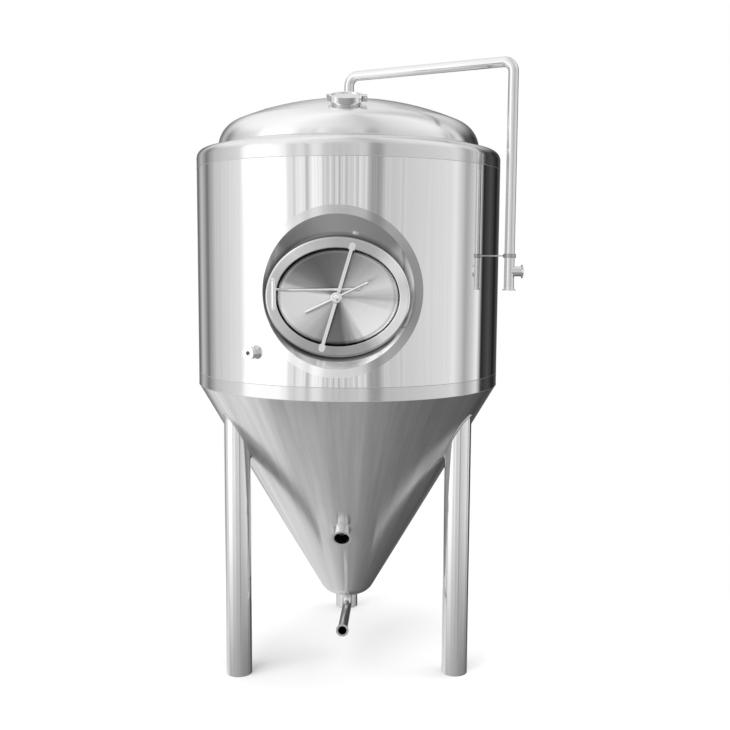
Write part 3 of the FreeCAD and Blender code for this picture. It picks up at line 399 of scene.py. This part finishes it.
def bead(name, curve, radius, steps=220, ripples=90):
    """A closed weld bead of overlapping ripples along a closed curve of one parameter."""
    mesh = bpy.data.meshes.new(name)
    item = bpy.data.objects.new(name, mesh)
    bpy.context.scene.collection.objects.link(item)
    build = bmesh.new()
    rings = []
    for step in range(steps):
        turn = 2 * math.pi * step / steps
        here = curve(turn)
        ahead = curve(turn + 0.01)
        along = (ahead - here).normalized()
        across = along.cross(Vector((0, 0, 1)))
        if across.length < 0.2:
            across = along.cross(Vector((1, 0, 0)))
        across.normalize()
        upward = across.cross(along)
        size = radius * (1 + BEAD_RIPPLE * math.sin(turn * ripples))
        ring = []
        for side in range(BEAD_SIDES):
            angle = 2 * math.pi * side / BEAD_SIDES
            spoke = across * math.cos(angle) + upward * math.sin(angle)
            ring.append(build.verts.new(here + spoke * size))
        rings.append(ring)
    for step in range(steps):
        one, two = rings[step], rings[(step + 1) % steps]
        for side in range(BEAD_SIDES):
            follow = (side + 1) % BEAD_SIDES
            build.faces.new((one[side], one[follow], two[follow], two[side]))
    bmesh.ops.recalc_face_normals(build, faces=build.faces)
    build.to_mesh(mesh)
    build.free()
    for face in mesh.polygons:
        face.use_smooth = True
    mesh.materials.append(WELD)
    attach(item, "tank")


def circle_about_axis(radius, height):
    return lambda turn: Vector((radius * math.cos(turn), radius * math.sin(turn), height))


def centre_of(name):
    low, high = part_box(name)
    return Vector([(a + b) / 2 for a, b in zip(low, high)])


def leg_curve(name):
    """Where a leg's tube meets the cone."""
    low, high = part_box(name)
    centre = centre_of(name)
    radius = (high[0] - low[0]) / 2

    def curve(turn):
        x = centre.x + radius * math.cos(turn)
        y = centre.y + radius * math.sin(turn)
        return Vector((x, y, CONE_TIP + math.hypot(x, y) / math.tan(HALF_CONE)))
    return curve


SEARCH_DEPTH = 0.3
SEARCH_STEPS = 30


def nozzle_curve(direction, radius, surface, start):
    """Where a round nozzle meets a surface; surface(point) is positive outside it."""
    direction = direction.normalized()
    across = direction.cross(Vector((0, 0, 1)))
    if across.length < 0.1:
        across = Vector((1, 0, 0))
    across.normalize()
    upward = across.cross(direction)

    def curve(turn):
        foot = start + (across * math.cos(turn) + upward * math.sin(turn)) * radius
        near, far = 0.0, SEARCH_DEPTH
        for _ in range(SEARCH_STEPS):
            middle = (near + far) / 2
            if surface(foot - direction * middle) > 0:
                near = middle
            else:
                far = middle
        return foot - direction * near
    return curve


def off_shell(point):
    return math.hypot(point.x, point.y) - SHELL_RADIUS


def off_cone(point):
    return math.hypot(point.x, point.y) - (point.z - CONE_TIP) * math.tan(HALF_CONE)


def off_dome(point):
    return (point - CROWN_CENTRE).length - CROWN


LEG_BEAD = 0.0045
DOME_BEAD = 0.004
SEAM_BEAD = 0.0013
TUBE_WELD = 0.0195          # radius at which a bead meets the 38.1 mm tubes
PORT_WELDS = (("top_port_weld", "top_port_gasket", 0.0512),
              ("cip_port_weld", "cip_port_gasket", 0.0194),
              ("relief_port_weld", "relief_port_ferrule", 0.0194))
RACKING_WELD = 0.0322
RACKING_FLANGE = 0.03875


def add_welds():
    for name in ("leg_front_left", "leg_front_right", "leg_rear"):
        bead(f"{name}_weld", leg_curve(name), LEG_BEAD, ripples=70)
    bead("dome_weld", circle_about_axis(HEAD_RADIUS + 0.001, SHOULDER_TOP - 0.0005), DOME_BEAD,
         steps=400, ripples=260)
    for name, height in (("band_seam", BAND_FOOT), ("cladding_seam", BAND_TOP),
                         ("shoulder_seam", MIRROR_TOP)):
        bead(name, circle_about_axis(SHELL_RADIUS - 0.0006, height), SEAM_BEAD, steps=400, ripples=300)

    socket = centre_of("thermowell_socket")
    heading = Vector((socket.x, socket.y, 0)).normalized()
    start = heading * (SHELL_RADIUS + 0.04) + Vector((0, 0, socket.z))
    bead("thermowell_weld", nozzle_curve(heading, TUBE_WELD, off_shell, start), 0.0025, steps=90,
         ripples=34)

    square_to_cone = Vector((0, -math.cos(HALF_CONE), -math.sin(HALF_CONE)))
    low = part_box("racking_port")[0]
    start = Vector((0, low[1] + RACKING_FLANGE * math.sin(HALF_CONE),
                    low[2] + RACKING_FLANGE * math.cos(HALF_CONE)))
    bead("racking_weld", nozzle_curve(square_to_cone, RACKING_WELD, off_cone, start), 0.003,
         steps=110, ripples=40)

    for name, port, radius in PORT_WELDS:
        out = (centre_of(port) - CROWN_CENTRE).normalized()
        start = CROWN_CENTRE + out * (CROWN + 0.03)
        bead(name, nozzle_curve(out, radius, off_dome, start), 0.0025, steps=120, ripples=46)
    bead("outlet_weld", circle_about_axis(0.0196, CONE_FOOT), 0.003, steps=90, ripples=30)


finish_nodes()
add_welds()

# ---------------------------------------------------------------- studio

# What the polished steel mirrors, as (degrees to the right of the camera, brightness) corners.
WALL_CARDS = (
    (-180, 0.56), (-155, 0.40), (-143, 0.74), (-130, 0.44), (-122, 0.66), (-116, 0.76), (-86, 0.88),
    (-82, 1.06), (-52, 1.06), (-46, 0.98), (-42, 0.84), (-33, 0.93), (-30, 0.70), (-27, 0.95),
    (-19, 0.90), (-15, 0.78), (0, 0.79), (12, 0.84), (16, 0.62), (23, 0.60), (26, 0.76), (80, 0.86),
    (85, 0.90), (97, 0.64), (104, 0.76), (113, 0.92), (119, 0.16), (132, 0.30), (145, 0.12), (165, 0.36),
)
FLOOR_CARDS = (
    (-180, 0.70), (-160, 0.84), (-98, 0.84), (-90, 0.61), (-10, 0.60), (20, 0.55), (40, 0.50),
    (60, 0.45), (90, 0.42), (110, 0.38), (135, 0.36), (150, 0.28), (180, 0.55),
)
CEILING_CARDS = (
    (-180, 0.90), (-120, 0.96), (-60, 1.0), (-20, 0.90), (5, 0.82), (22, 0.74), (45, 0.86),
    (95, 0.95), (125, 0.74), (150, 0.82), (180, 0.90),
)
CAMERA_AZIMUTH = math.radians(3.8)
WHITE = (1, 1, 1, 1)
FLOOR_HALF = 30.0
FLOOR_DROP = 0.001          # keeps the floor just clear of the leg ends


def cards(n, azimuth, table):
    stops = [((degrees + 180) / 360, level ** DISPLAY_GAMMA) for degrees, level in table]
    return n.ramp(azimuth, stops)


def streaked_wall(n, azimuth, angle):
    """The wall cards with fine upright streaks, strong ahead of the tank and behind it."""
    streaks = n.noise(n.point(n.math("MULTIPLY", azimuth, 150.0)), 1.0, 5.0, 0.75)
    off_centre = n.math("ABSOLUTE", n.math("ADD", angle, 0.1))
    middle = n.math("SUBTRACT", 1.0, n.math("MULTIPLY", off_centre, 1.1), clamp=True)
    edges = n.math("SUBTRACT", n.math("ABSOLUTE", angle), 1.5, clamp=True)
    amount = n.math("ADD", n.math("MULTIPLY", edges, 1.3), 0.3)
    amount = n.math("ADD", n.math("MULTIPLY", middle, 3.4), amount)
    return n.scaled(cards(n, azimuth, WALL_CARDS), n.math("ADD", 1.0, n.vary(streaks, amount)))


def streaked_floor(n, azimuth, z):
    """The floor cards, turned further the steeper the view down, with broad soft streaks."""
    under = n.math("MAXIMUM", n.math("SUBTRACT", n.math("MULTIPLY", z, -1.0), 0.8), 0.0)
    turned = n.math("SUBTRACT", azimuth, n.math("MULTIPLY", under, 0.55))
    ray = n.math("SUBTRACT", azimuth, n.math("MULTIPLY", under, 0.3))
    streaks = n.noise(n.point(n.math("MULTIPLY", ray, 34.0)), 1.0, 4.0, 0.7)
    gain = n.math("ADD", 0.45, n.math("MULTIPLY", streaks, 1.1))
    return n.scaled(cards(n, turned, FLOOR_CARDS), gain)


def make_world():
    """White to the eye; cards and flags of a photo studio to the polished steel."""
    world = bpy.data.worlds.new("studio")
    bpy.context.scene.world = world
    world.use_nodes = True
    world.node_tree.nodes.clear()
    n = Nodes(world.node_tree)
    output = n.add("ShaderNodeOutputWorld")
    turn = n.add("ShaderNodeVectorRotate", rotation_type="Z_AXIS")
    turn.inputs["Angle"].default_value = -CAMERA_AZIMUTH
    n.link(n.add("ShaderNodeTexCoord").outputs["Generated"], turn.inputs["Vector"])
    split = n.add("ShaderNodeSeparateXYZ")
    n.link(turn.outputs[0], split.inputs[0])
    x, y, z = split.outputs
    angle = n.math("ARCTAN2", x, n.math("MULTIPLY", y, -1.0))
    azimuth = n.math("ADD", n.math("DIVIDE", angle, 2 * math.pi), 0.5)

    below = n.between(n.math("MULTIPLY", z, -1.0), 0.22, 0.45)
    above = n.between(z, 0.25, 0.6)
    lower = n.blend(streaked_wall(n, azimuth, angle), streaked_floor(n, azimuth, z), below)
    room = n.blend(lower, cards(n, azimuth, CEILING_CARDS), above)

    reflected = n.add("ShaderNodeBackground")
    n.link(room, reflected.inputs["Color"])
    reflected.inputs["Strength"].default_value = 1.15
    backdrop = n.add("ShaderNodeBackground")
    backdrop.inputs["Color"].default_value = WHITE
    mix = n.add("ShaderNodeMixShader")
    n.link(n.add("ShaderNodeLightPath").outputs["Is Camera Ray"], mix.inputs[0])
    n.link(reflected.outputs[0], mix.inputs[1])
    n.link(backdrop.outputs[0], mix.inputs[2])
    n.link(mix.outputs[0], output.inputs["Surface"])


def floor_finish():
    """Pale matte floor that fades into the white backdrop away from the tank."""
    material, n, shader, output = mottled("pale_floor", (0.95, 0.95, 0.95), 0.9, 0.004, 3.0)
    reach = n.add("ShaderNodeVectorMath", operation="LENGTH")
    n.link(n.place(), reach.inputs[0])
    glow = n.add("ShaderNodeEmission")
    glow.inputs["Color"].default_value = WHITE
    mix = n.add("ShaderNodeMixShader")
    n.link(n.between(reach.outputs["Value"], 0.5, 2.2), mix.inputs[0])
    n.link(shader.outputs[0], mix.inputs[1])
    n.link(glow.outputs[0], mix.inputs[2])
    n.link(mix.outputs[0], output.inputs["Surface"])
    return material


def make_floor():
    mesh = bpy.data.meshes.new("floor")
    corners = [(x * FLOOR_HALF, y * FLOOR_HALF, 0) for x, y in ((-1, -1), (1, -1), (1, 1), (-1, 1))]
    mesh.from_pydata(corners, [], [(0, 1, 2, 3)])
    floor = bpy.data.objects.new("floor", mesh)
    bpy.context.scene.collection.objects.link(floor)
    floor.data.materials.append(floor_finish())
    floor.visible_glossy = False
    floor.location.z = -FLOOR_DROP


def area_light(name, place, target, size, power):
    light = bpy.data.lights.new(name, "AREA")
    light.shape = "RECTANGLE"
    light.size = size
    light.size_y = size
    light.energy = power
    item = bpy.data.objects.new(name, light)
    bpy.context.scene.collection.objects.link(item)
    item.location = place
    item.rotation_euler = (Vector(target) - Vector(place)).to_track_quat("-Z", "Y").to_euler()
    item.visible_glossy = False


def make_camera():
    """Eye level a little above the manway, slightly to the right, looking a little down."""
    distance = 3.901
    eye_height = 1.6435
    camera_data = bpy.data.cameras.new("camera")
    camera_data.sensor_width = 36.0
    camera_data.lens = 46.51
    camera = bpy.data.objects.new("camera", camera_data)
    bpy.context.scene.collection.objects.link(camera)
    turn = CAMERA_AZIMUTH - math.radians(1.034)
    pitch = math.radians(90 - 6.242)
    roll = math.radians(0.345)
    place = (distance * math.sin(CAMERA_AZIMUTH), -distance * math.cos(CAMERA_AZIMUTH), eye_height)
    camera.matrix_world = (Matrix.Translation(place) @ Matrix.Rotation(turn, 4, "Z")
                           @ Matrix.Rotation(pitch, 4, "X") @ Matrix.Rotation(roll, 4, "Z"))
    bpy.context.scene.camera = camera


make_world()
make_floor()
area_light("key_light", (-2.5, -3.0, 4.5), (0, 0, 1.0), 4.0, 160)
area_light("top_light", (1.5, 1.0, 5.5), (0, 0, 0.5), 4.0, 160)
make_camera()
bpy.context.scene.view_settings.view_transform = "Standard"
